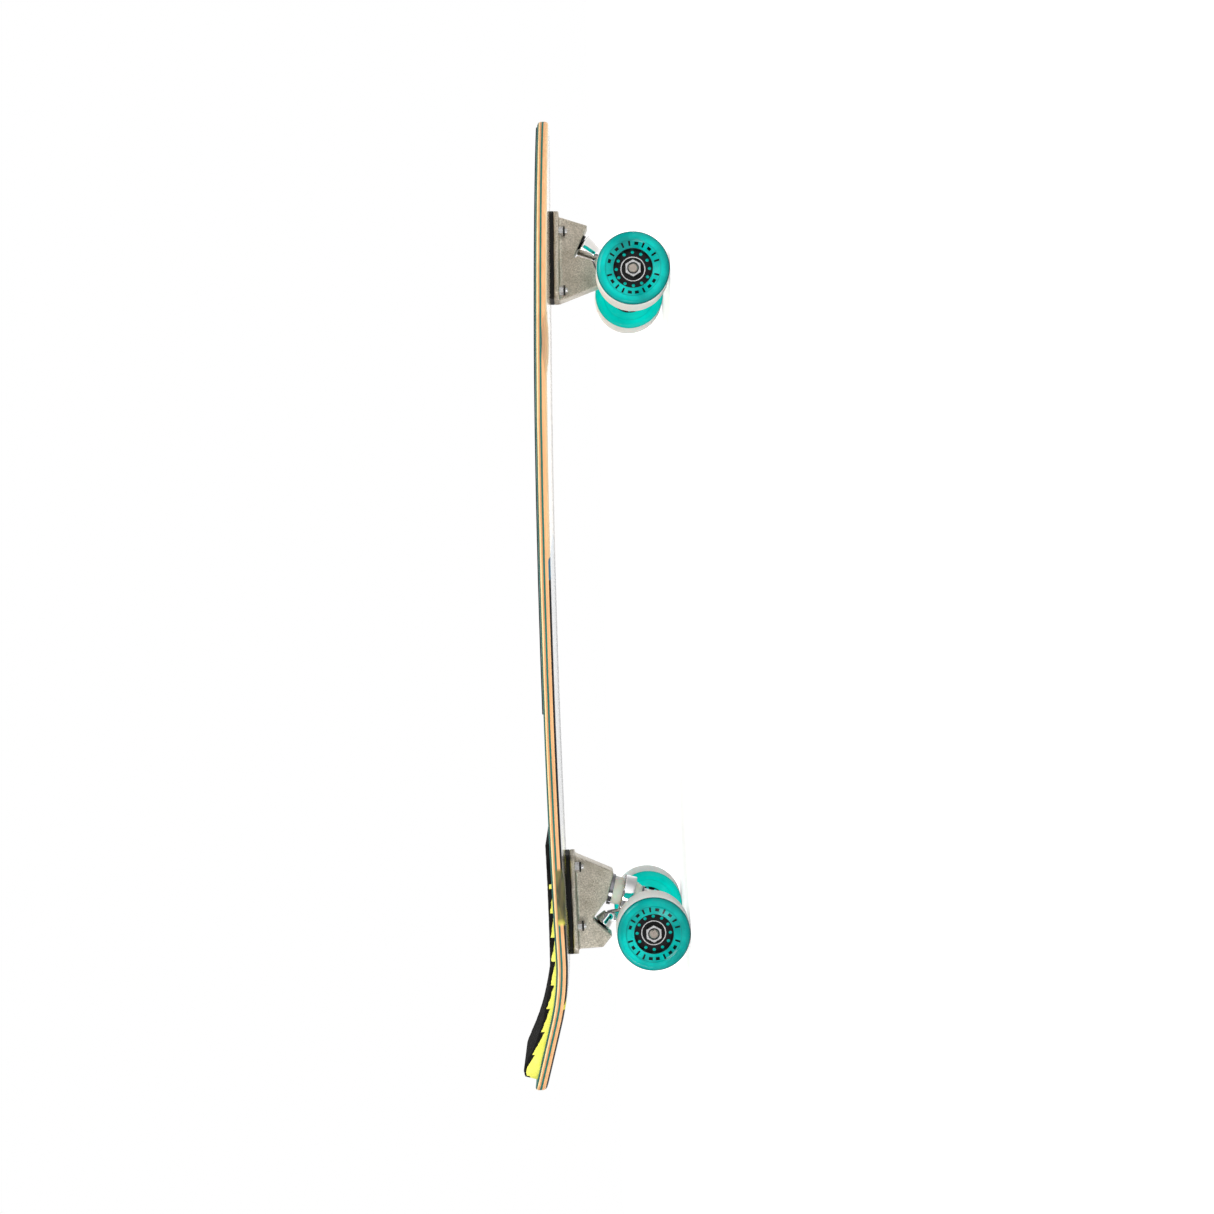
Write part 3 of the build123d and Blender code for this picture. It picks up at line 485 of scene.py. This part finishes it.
def deck_material():
    """Maple plies that show through the rail and the wheel wells, over printed top and bottom veneers."""
    s = Shader("deck_plies", rough=0.5, Specular_IOR_Level=0.3)
    depth = s.attribute("ply_depth")
    x, y, _ = s.axes()
    grain = s.noise(420, stretch=(0.05, 1, 1), detail=6)
    fine = s.noise(2400, stretch=(0.03, 1, 1), detail=3)
    wavy = s.math("ADD", depth, s.math("MULTIPLY", s.math("SUBTRACT", s.noise(22, detail=2), 0.5), 0.35))
    bands = tuple(zip(PLY_STARTS, PLIES))
    ply = s.ramp(s.math("DIVIDE", wavy, THICKNESS), bands, constant=True)
    glue = s.math("FRACT", s.math("MULTIPLY", s.math("DIVIDE", wavy, THICKNESS), float(len(PLIES))))
    glue = s.math("LESS_THAN", glue, 0.09)
    ply = s.mix(s.math("MULTIPLY", glue, 0.4), ply, (0.22, 0.12, 0.05))
    ply = s.mix(s.span(grain, 0.35, 0.75, 0.0, 0.45), ply, (0.62, 0.48, 0.36), "MULTIPLY")
    veneer = s.ramp(grain, ((0.3, (0.84, 0.68, 0.49)), (0.7, (0.95, 0.86, 0.71))))
    veneer = s.mix(s.span(fine, 0.4, 0.7, 0.0, 0.35), veneer, (0.45, 0.31, 0.18))
    sweep = s.math("ADD", x, s.math("MULTIPLY", s.math("SINE", s.math("MULTIPLY", y, 26.0)), 0.02))
    sweep = s.math("ADD", sweep, s.math("MULTIPLY", s.math("SUBTRACT", s.noise(14), 0.5), 0.015))
    art = s.mix(s.math("LESS_THAN", sweep, 0.040), veneer, (0.04, 0.16, 0.26))
    art = s.mix(s.math("LESS_THAN", sweep, 0.022), art, (0.008, 0.008, 0.009))
    bands_wave = s.math("SINE", s.math("MULTIPLY", s.math("ADD", sweep, s.math("MULTIPLY", y, 0.6)), 85.0))
    stripe = s.math("MULTIPLY", s.above(bands_wave, 0.55), s.between(sweep, -0.38, -0.20))
    stripe = s.math("MULTIPLY", stripe, s.math("LESS_THAN", s.math("ABSOLUTE", y), 0.088))
    art = s.mix(stripe, art, (0.62, 0.58, 0.05))
    top = s.mix(s.span(grain, 0.3, 0.7, 0.0, 0.7), (0.015, 0.12, 0.11), (0.03, 0.22, 0.19))
    rail_paint = s.span(x, 0.036, 0.040, 1.7, 0.35)
    under = s.above(depth, s.math("SUBTRACT", THICKNESS, rail_paint))
    sanded = s.math("MULTIPLY", s.math("LESS_THAN", x, -0.15), s.attribute("in_well"))
    olive = s.mix(s.span(s.noise(45), 0.4, 0.6, 0.0, 1.0), (0.15, 0.15, 0.04), (0.05, 0.05, 0.02))
    olive = s.mix(s.span(x, -0.284, -0.278, 1.0, 0.0), olive, (0.72, 0.68, 0.09))
    color = s.mix(under, ply, art)
    color = s.mix(s.math("MULTIPLY", sanded, 0.93), color, olive)
    color = s.mix(s.math("LESS_THAN", depth, 0.25), color, top)
    s.drive("Base Color", color)
    gloss = s.above(depth, THICKNESS - 0.3)
    s.drive("Roughness", s.mix_values(gloss, s.span(grain, 0.3, 0.7, 0.45, 0.6), 0.07))
    s.bump(s.math("ADD", fine, s.math("MULTIPLY", glue, -0.6)), 0.16, 0.0002)
    return s.material


def pad_material():
    """Closed-cell foam: a black grooved skin over yellow, black all through at its front end."""
    s = Shader("pad_foam", rough=0.78, Specular_IOR_Level=0.1)
    below = s.attribute("below_top")
    x = s.axes()[0]
    teeth = s.math("FRACT", s.math("DIVIDE", s.math("ADD", x, 1.0), 0.022))
    rough_edge = s.math("MULTIPLY", s.math("SUBTRACT", s.noise(160, detail=3), 0.5), 2.6)
    torn = s.math("ADD", s.math("ADD", 1.4, s.math("MULTIPLY", teeth, 3.4)), rough_edge)
    yellow = s.above(below, torn)
    yellow = s.math("MULTIPLY", yellow, s.math("LESS_THAN", x, -0.248))
    pores = s.cells(1300)
    bright = s.ramp(s.noise(50), ((0.3, (0.84, 0.80, 0.10)), (0.7, (0.94, 0.91, 0.19))))
    dark = s.ramp(s.noise(80), ((0.3, (0.003, 0.003, 0.003)), (0.7, (0.012, 0.011, 0.010))))
    s.drive("Base Color", s.mix(yellow, dark, bright))
    s.drive("Roughness", s.span(pores, 0.0, 0.5, 0.65, 0.9))
    s.bump(pores, 0.3, 0.0003)
    return s.material


# ---------- deck and pad shapes ----------

def top_height(x):
    """Return the height of the deck's top centreline."""
    if x > CAMBER_START_X:
        return CAMBER_START_Z - (x - CAMBER_START_X) * math.tan(NOSE_SLOPE)
    if x > CAMBER_END_X:
        return PEAK_Z - CAMBER_RADIUS + math.sqrt(CAMBER_RADIUS**2 - (x - PEAK_X)**2)
    if x > KICK_START_X:
        return CAMBER_END_Z - (CAMBER_END_X - x) * math.tan(REAR_SLOPE)
    if x > KICK_END_X:
        return KICK_LOW_Z + KICK_RADIUS - math.sqrt(KICK_RADIUS**2 - (x - KICK_LOW_X)**2)
    return KICK_END_Z + (KICK_END_X - x) * math.tan(KICK_SLOPE)


def concave(y):
    """Return how far the deck rises towards its rails."""
    out = max(0.0, abs(y) - FLAT_HALF)
    return CONCAVE_RADIUS - math.sqrt(CONCAVE_RADIUS**2 - out * out)


def upright_thickness(x):
    """Return the deck's thickness measured straight down."""
    slope = top_height(x - 0.5) - top_height(x + 0.5)
    return THICKNESS * math.hypot(1.0, slope)


def rounding(inset):
    """Return how far a rounded edge has dropped at a distance in from the rail."""
    if inset >= EDGE_ROUND:
        return 0.0
    return EDGE_ROUND - math.sqrt(EDGE_ROUND**2 - (EDGE_ROUND - inset)**2)


def well_cut(x, y):
    """Return how deep a wheel well is cut at a place under the deck."""
    deepest = 0.0
    for centre in WELL_X:
        along = abs(x - centre)
        if along < WELL_RADIUS:
            arch = WELL_RADIUS - math.sqrt(WELL_RADIUS**2 - along**2)
            cut = WELL_DEPTH - (WELL_RAIL_Y - abs(y)) * WELL_DEPTH / WELL_REACH - arch
            deepest = max(deepest, cut)
    return deepest


def half_width(x):
    """Return the outline's half width at a place along the board."""
    if x >= WIDEST_X:
        part = (x - WIDEST_X) / (HALF_LENGTH - WIDEST_X)
        return HALF_WIDTH * math.sqrt(max(0.0, 1 - part**NOSE_POWER))
    part = (WIDEST_X - x) / (HALF_LENGTH + WIDEST_X)
    return HALF_WIDTH - (HALF_WIDTH - TAIL_HALF_WIDTH) * part**TAIL_POWER


def left_outline():
    """Return the left half of the outline, from the nose's tip to the middle of the tail."""
    points = []
    for step in range(71):
        angle = math.radians(90 - 90 * step / 70)
        x = WIDEST_X + (HALF_LENGTH - WIDEST_X) * math.sin(angle)**(2 / NOSE_POWER)
        points.append((x, HALF_WIDTH * math.cos(angle)))
    slope = TAIL_POWER * (HALF_WIDTH - TAIL_HALF_WIDTH) / (HALF_LENGTH + WIDEST_X)
    heading = math.atan(slope)
    bend = math.pi / 2 - heading
    tangent = TAIL_CORNER * math.tan(bend / 2)
    side_end = -HALF_LENGTH + tangent * math.cos(heading)
    for step in range(1, 161):
        x = WIDEST_X + (side_end - WIDEST_X) * step / 160
        points.append((x, half_width(x)))
    for step in range(1, 11):
        angle = heading + bend * step / 10
        x = -HALF_LENGTH + TAIL_CORNER * (1 - math.sin(angle))
        y = TAIL_HALF_WIDTH - tangent + TAIL_CORNER * math.cos(angle)
        points.append((x, y))
    last = points[-1][1]
    for step in range(1, 16):
        points.append((-HALF_LENGTH, last * (1 - step / 15)))
    return points


def inward_normals(points):
    """Return the inward direction at each point of the left outline."""
    normals = []
    for index, (x, y) in enumerate(points):
        before = points[index - 1] if index else (x, -points[1][1])
        after = points[index + 1] if index + 1 < len(points) else (x, -points[-2][1])
        dx = after[0] - before[0]
        dy = after[1] - before[1]
        size = math.hypot(dx, dy) or 1.0
        normals.append((-dy / size, dx / size))
    return normals


def add_object(name, vertices, faces, material):
    """Make a smooth-shaded mesh object from millimetre vertices."""
    mesh = bpy.data.meshes.new(name)
    mesh.from_pydata([(x * MM, y * MM, z * MM) for x, y, z in vertices], [], faces)
    mesh.validate()
    mesh.polygons.foreach_set("use_smooth", [True] * len(mesh.polygons))
    mesh.materials.append(material)
    made = bpy.data.objects.new(name, mesh)
    bpy.context.scene.collection.objects.link(made)
    return made


def turn_faces_out(made, weld=False):
    """Point a closed mesh's faces outwards, and first weld its seams if asked."""
    shell = bmesh.new()
    shell.from_mesh(made.data)
    if weld:
        bmesh.ops.remove_doubles(shell, verts=shell.verts, dist=2e-6)
        bmesh.ops.dissolve_degenerate(shell, edges=shell.edges, dist=1e-7)
    bmesh.ops.recalc_face_normals(shell, faces=shell.faces)
    shell.to_mesh(made.data)
    shell.free()


def add_values(made, name, values):
    """Store one value on every vertex."""
    layer = made.data.attributes.new(name, "FLOAT", "POINT")
    layer.data.foreach_set("value", values)


BAND = (0.0, 0.12, 0.45, 1.0, 1.8, 2.7, EDGE_ROUND, 5.5)
ROWS = 44
FAR_IN = 99.0  # past every rounded edge


def deck_grid():
    """Return the left half of the deck as rings of (x, y, inset), from the rail to the centreline."""
    points = left_outline()
    normals = inward_normals(points)
    rings = []
    for inset in BAND:
        ring = []
        for (x, y), (nx, ny) in zip(points, normals):
            ring.append((x + nx * inset, max(0.0, y + ny * inset), inset))
        rings.append(ring)
    inner = rings[-1]
    count = len(inner)
    middle = []
    for index, (x, _, _) in enumerate(inner):
        part = index / (count - 1)
        spread = HALF_LENGTH - 25 - part * (2 * HALF_LENGTH - 50)
        middle.append(spread if abs(x) > HALF_LENGTH - 60 else x * 0.93)
    middle = unfolded(middle)
    for row in range(1, ROWS + 1):
        part = row / ROWS
        ring = []
        for (x, y, _), mx in zip(inner, middle):
            ring.append((x + (mx - x) * part, y * (1 - part), FAR_IN))
        rings.append(ring)
    return rings


def unfolded(values):
    """Space the centreline's points so that none fold back."""
    spaced = values[:1]
    for value in values[1:]:
        spaced.append(min(value, spaced[-1] - 0.4))
    return spaced


def make_deck(material):
    """Build the deck with rounded rails, sanded wells and its depth through the plies on every vertex."""
    rings = deck_grid()
    count = len(rings[0])
    vertices, depths, wells, faces = [], [], [], []

    def add(x, y, z, depth, well):
        vertices.append((x, y, z))
        depths.append(depth)
        wells.append(well)
        return len(vertices) - 1

    def surface(side, under):
        rows = []
        for ring in rings:
            row = []
            for x, y, inset in ring:
                drop = rounding(inset)
                top = top_height(x) + concave(y) - 0.05
                full = upright_thickness(x)
                if under:
                    cut = well_cut(x, y)
                    lift = max(drop, cut)
                    row.append(add(x, side * y, top - full + lift, THICKNESS - lift, 1.0 if cut > 0 else 0.0))
                else:
                    row.append(add(x, side * y, top - drop, drop, 0.0))
            rows.append(row)
        return rows

    def quads(first, second, flip):
        for index in range(count - 1):
            quad = (first[index], first[index + 1], second[index + 1], second[index])
            faces.append(quad[::-1] if flip else quad)

    for side in (1, -1):
        top = surface(side, False)
        bottom = surface(side, True)
        for rows, flip in ((top, side < 0), (bottom, side > 0)):
            for first, second in zip(rows, rows[1:]):
                quads(first, second, flip)
        wall = [top[0]]
        for part in (0.33, 0.67):
            row = []
            for upper, lower in zip(top[0], bottom[0]):
                a, b = vertices[upper], vertices[lower]
                depth = depths[upper] + (depths[lower] - depths[upper]) * part
                row.append(add(a[0], a[1], a[2] + (b[2] - a[2]) * part, depth, wells[lower]))
            wall.append(row)
        wall.append(bottom[0])
        for first, second in zip(wall, wall[1:]):
            quads(first, second, side > 0)
    made = add_object("deck_body", vertices, faces, material)
    add_values(made, "ply_depth", depths)
    add_values(made, "in_well", wells)
    turn_faces_out(made, weld=True)
    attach(made, "board")
    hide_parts("deck")


PAD_LINE = (
    (-212, 125.4), (-250, 124.7), (-300, 124.6), (-330, 125.4), (-354, 129.1), (-375, 133.8), (-388, 138.0),
    (-400, 142.9), (-410, 147.9), (-420, 151.9), (-428, 151.6), (-431, 150.8),
)
PAD_END_LEAN = 0.3
GROOVE_PITCH = 11.0
GROOVE_WIDTH = 2.2
GROOVE_DEPTH = 1.5


def pad_line_height(x):
    """Return the height of the pad's top along its side line, eased between its named points."""
    for index in range(len(PAD_LINE) - 1):
        (x0, z0), (x1, z1) = PAD_LINE[index], PAD_LINE[index + 1]
        if x >= x1:
            before = PAD_LINE[max(0, index - 1)]
            after = PAD_LINE[min(len(PAD_LINE) - 1, index + 2)]
            part = (x - x0) / (x1 - x0)
            m0 = (z1 - before[1]) / (x1 - before[0]) * (x1 - x0)
            m1 = (after[1] - z0) / (after[0] - x0) * (x1 - x0)
            p2, p3 = part * part, part**3
            return ((2 * p3 - 3 * p2 + 1) * z0 + (p3 - 2 * p2 + part) * m0
                    + (3 * p2 - 2 * p3) * z1 + (p3 - p2) * m1)
    return PAD_LINE[-1][1]


def groove(x, y):
    """Return how deep the diamond grooves are at a place on the pad."""
    deepest = 0.0
    for value in (x + y * 1.4, x - y * 1.4):
        off = abs((value / GROOVE_PITCH) % 1.0 - 0.5) * GROOVE_PITCH
        away = GROOVE_PITCH / 2 - off
        deepest = max(deepest, min(1.0, max(0.0, (GROOVE_WIDTH / 2 - away) / 0.7 + 0.5)))
    return GROOVE_DEPTH * min(1.0, deepest)


def make_pad(material):
    """Build the tail pad: a kicked foam block with diamond grooves, cut square at its rim."""
    columns, rows = 190, 170
    vertices, below, faces = [], [], []
    grid = []
    for column in range(columns + 1):
        x = PAD_START_X + (PAD_END_X - PAD_START_X) * column / columns
        reach = half_width(x) - PAD_INSET
        tail = max(0.0, (PAD_END_X + 14 - x) / 14)
        reach -= 12 * (1 - math.sqrt(max(0.0, 1 - tail * tail)))
        line = []
        for row in range(rows + 1):
            y = -reach + 2 * reach * row / rows
            cut = groove(x, y)
            rim = min(reach - abs(y), x - PAD_END_X, PAD_START_X - x)
            crown = pad_line_height(x) - (0.5 if rim < 0.4 else 0.0)
            floor = top_height(x) + concave(y) + 1.0
            line.append(len(vertices))
            vertices.append((x, y, max(crown - cut, floor)))
            below.append(cut * 0.95)
        grid.append(line)
    for first, second in zip(grid, grid[1:]):
        for index in range(rows):
            faces.append((first[index], second[index], second[index + 1], first[index + 1]))
    rim = [line[0] for line in grid] + grid[-1][1:] + [line[-1] for line in grid[-2::-1]] + grid[0][-2:0:-1]
    levels = 7
    previous = rim
    for level in range(1, levels + 1):
        ring = []
        for source in rim:
            x, y, z = vertices[source]
            bottom = top_height(x) + concave(y) + 0.05
            crown = pad_line_height(x)
            height = z + (bottom - z) * level / levels
            at_end = max(0.0, 1 - (x - PAD_END_X) / 14)
            ring.append(len(vertices))
            vertices.append((x - (z - height) * at_end * PAD_END_LEAN, y, height))
            below.append(crown - height)
        for index in range(len(rim)):
            after = (index + 1) % len(rim)
            faces.append((previous[index], previous[after], ring[after], ring[index]))
        previous = ring
    made = add_object("tail_pad", vertices, faces, material)
    add_values(made, "below_top", below)
    turn_faces_out(made)
    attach(made, "board")
    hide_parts("tail_pad_base", "tail_pad_tread")


# ---------- castings and bushings ----------

def softened(node, name, body, material, voxel, smooth):
    """Replace a CAD casting with the same shape, its corners run together as a casting's are."""
    source = NODES[node]
    made = bpy.data.objects.new(name, source.data.copy())
    bpy.context.scene.collection.objects.link(made)
    remesh = made.modifiers.new("remesh", "REMESH")
    remesh.mode = "VOXEL"
    remesh.voxel_size = voxel * MM
    blur = made.modifiers.new("blur", "SMOOTH")
    blur.factor = 0.5
    blur.iterations = smooth
    depsgraph = bpy.context.evaluated_depsgraph_get()
    mesh = bpy.data.meshes.new_from_object(made.evaluated_get(depsgraph))
    made.modifiers.clear()
    made.data = mesh
    mesh.materials.clear()
    mesh.materials.append(material)
    mesh.polygons.foreach_set("use_smooth", [True] * len(mesh.polygons))
    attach(made, body)
    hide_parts(node)


def lathe(name, profile, origin, axis, material, steps=64):
    """Revolve (radius, distance) points about an axis and return the object."""
    axis = Vector(axis).normalized()
    side = Vector((0, 1, 0))
    other = axis.cross(side)
    vertices, faces = [], []
    for radius, distance in profile:
        for step in range(steps):
            angle = 2 * math.pi * step / steps
            point = Vector(origin) + axis * distance
            point += (side * math.cos(angle) + other * math.sin(angle)) * radius
            vertices.append(tuple(point))
    rings = len(profile)
    for ring in range(rings):
        for step in range(steps):
            a, b = ring * steps + step, ring * steps + (step + 1) % steps
            c, d = ((ring + 1) % rings) * steps + (step + 1) % steps, ((ring + 1) % rings) * steps + step
            faces.append((a, b, c, d))
    made = add_object(name, vertices, faces, material)
    turn_faces_out(made)
    return made


TRUCKS = {
    "front": {"seat": (302.5, 0, 64.0), "kingpin": (0.342, 0, -0.940), "bushing": 10.8},
    "rear": {"seat": (-267.5, 0, 69.5), "kingpin": (-0.259, 0, -0.966), "bushing": 13.0},
}


def make_bushings(truck, material):
    """Build the two urethane bushings between the board and the hanger."""
    facts = TRUCKS[truck]
    wide = facts["bushing"]
    seat = Vector(facts["seat"])
    pin = Vector(facts["kingpin"]).normalized()
    bore = 4.85
    board = [(bore, 1.6), (wide - 1.0, 1.6), (wide - 0.2, 2.2), (wide, 3.4), (wide - 0.1, 6), (wide - 0.3, 9),
             (wide - 0.7, 11.5), (wide - 1.4, 13.2), (bore, 13.4)]
    road = [(bore, 21.6), (wide - 1.8, 21.7), (wide - 1.1, 22.6), (wide - 1.4, 24.5), (10.0, 27.2),
            (9.2, 29.2), (8.5, 29.9), (bore, 29.9)]
    for where, profile, start, end in (("board", board, 2.0, 13.5), ("road", road, 30.0, 21.5)):
        made = lathe(f"{truck}_bushing_{where}_urethane", profile, seat, pin, material)
        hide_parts(f"{truck}_bushing_{where}")
        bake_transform(made)


# ---------- put it together ----------

def paint(material, *nodes):
    """Give CAD nodes one material."""
    for node in nodes:
        data = NODES[node].data
        data.materials.clear()
        data.materials.append(material)


def main():
    """Build the stage, then every material and piece."""
    make_camera()
    make_stage()
    make_deck(deck_material())
    make_pad(pad_material())
    paint(grip_material(), "grip_sheet")
    cast, plate = cast_metal(), chrome()
    zinc = plated_steel("zinc_steel", (0.66, 0.66, 0.66), 0.28)
    axle_steel = plated_steel("axle_steel", (0.46, 0.40, 0.35), 0.3)
    bright = plated_steel("bearing_steel", (0.74, 0.74, 0.74), 0.16)
    dark = plated_steel("dark_chrome", (0.24, 0.24, 0.26), 0.14)
    black = moulded("core_nylon", (0.004, 0.004, 0.005), 0.35)
    shield = moulded("shield_rubber", (0.005, 0.005, 0.005), 0.5)
    riser = moulded("riser_plastic", (0.008, 0.008, 0.008), 0.6)
    cream = bushing_urethane()
    for truck in TRUCKS:
        hanger = f"{truck}_hanger"
        softened(f"{truck}_baseplate", f"{truck}_baseplate_casting", "board", cast, 0.8, 5)
        softened(hanger, f"{hanger}_casting", f"{hanger}_set", plate, 0.7, 10)
        make_bushings(truck, cream)
        paint(riser, f"{truck}_riser", f"{truck}_pivot_cup")
        paint(zinc, f"{truck}_deck_bolts", f"{truck}_kingpin", f"{truck}_kingpin_nut", f"{truck}_spacers",
              f"{truck}_speed_washers")
        paint(axle_steel, f"{truck}_axle")
        slope = NOSE_SLOPE if truck == "front" else -REAR_SLOPE
        nut_low, nut_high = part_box(f"{truck}_deck_nuts")
        lean = math.tan(slope)
        nut_middle = (nut_low.z + nut_high.z) / 2 + (nut_low.x + nut_high.x) / 2 * lean
        nylon_top = nut_middle - (DECK_NUT_HALF - NYLON_DEPTH) * MM
        paint(deck_nut_steel(f"{truck}_deck_nut_steel", lean, nylon_top), f"{truck}_deck_nuts")
        paint(dark, f"{truck}_washer_board", f"{truck}_washer_road")
        paint(bright, f"{truck}_bearing_inner_rings")
        low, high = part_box(f"{truck}_axle")
        axle_x, axle_z = (low.x + high.x) / 2, (low.z + high.z) / 2
        paint(axle_nut_steel(f"{truck}_axle_nut_steel", axle_x, axle_z), f"{truck}_axle_nuts")
        for name, side in (("left", 1), ("right", -1)):
            wheel = f"{truck}_{name}"
            paint(wheel_urethane(f"{wheel}_urethane", axle_x, axle_z, side), f"{wheel}_tyre")
            paint(black, f"{wheel}_core")
            paint(shield, f"{wheel}_bearing_shields")
            paint(bright, f"{wheel}_bearing_outer_rings", f"{wheel}_bearing_balls")


main()
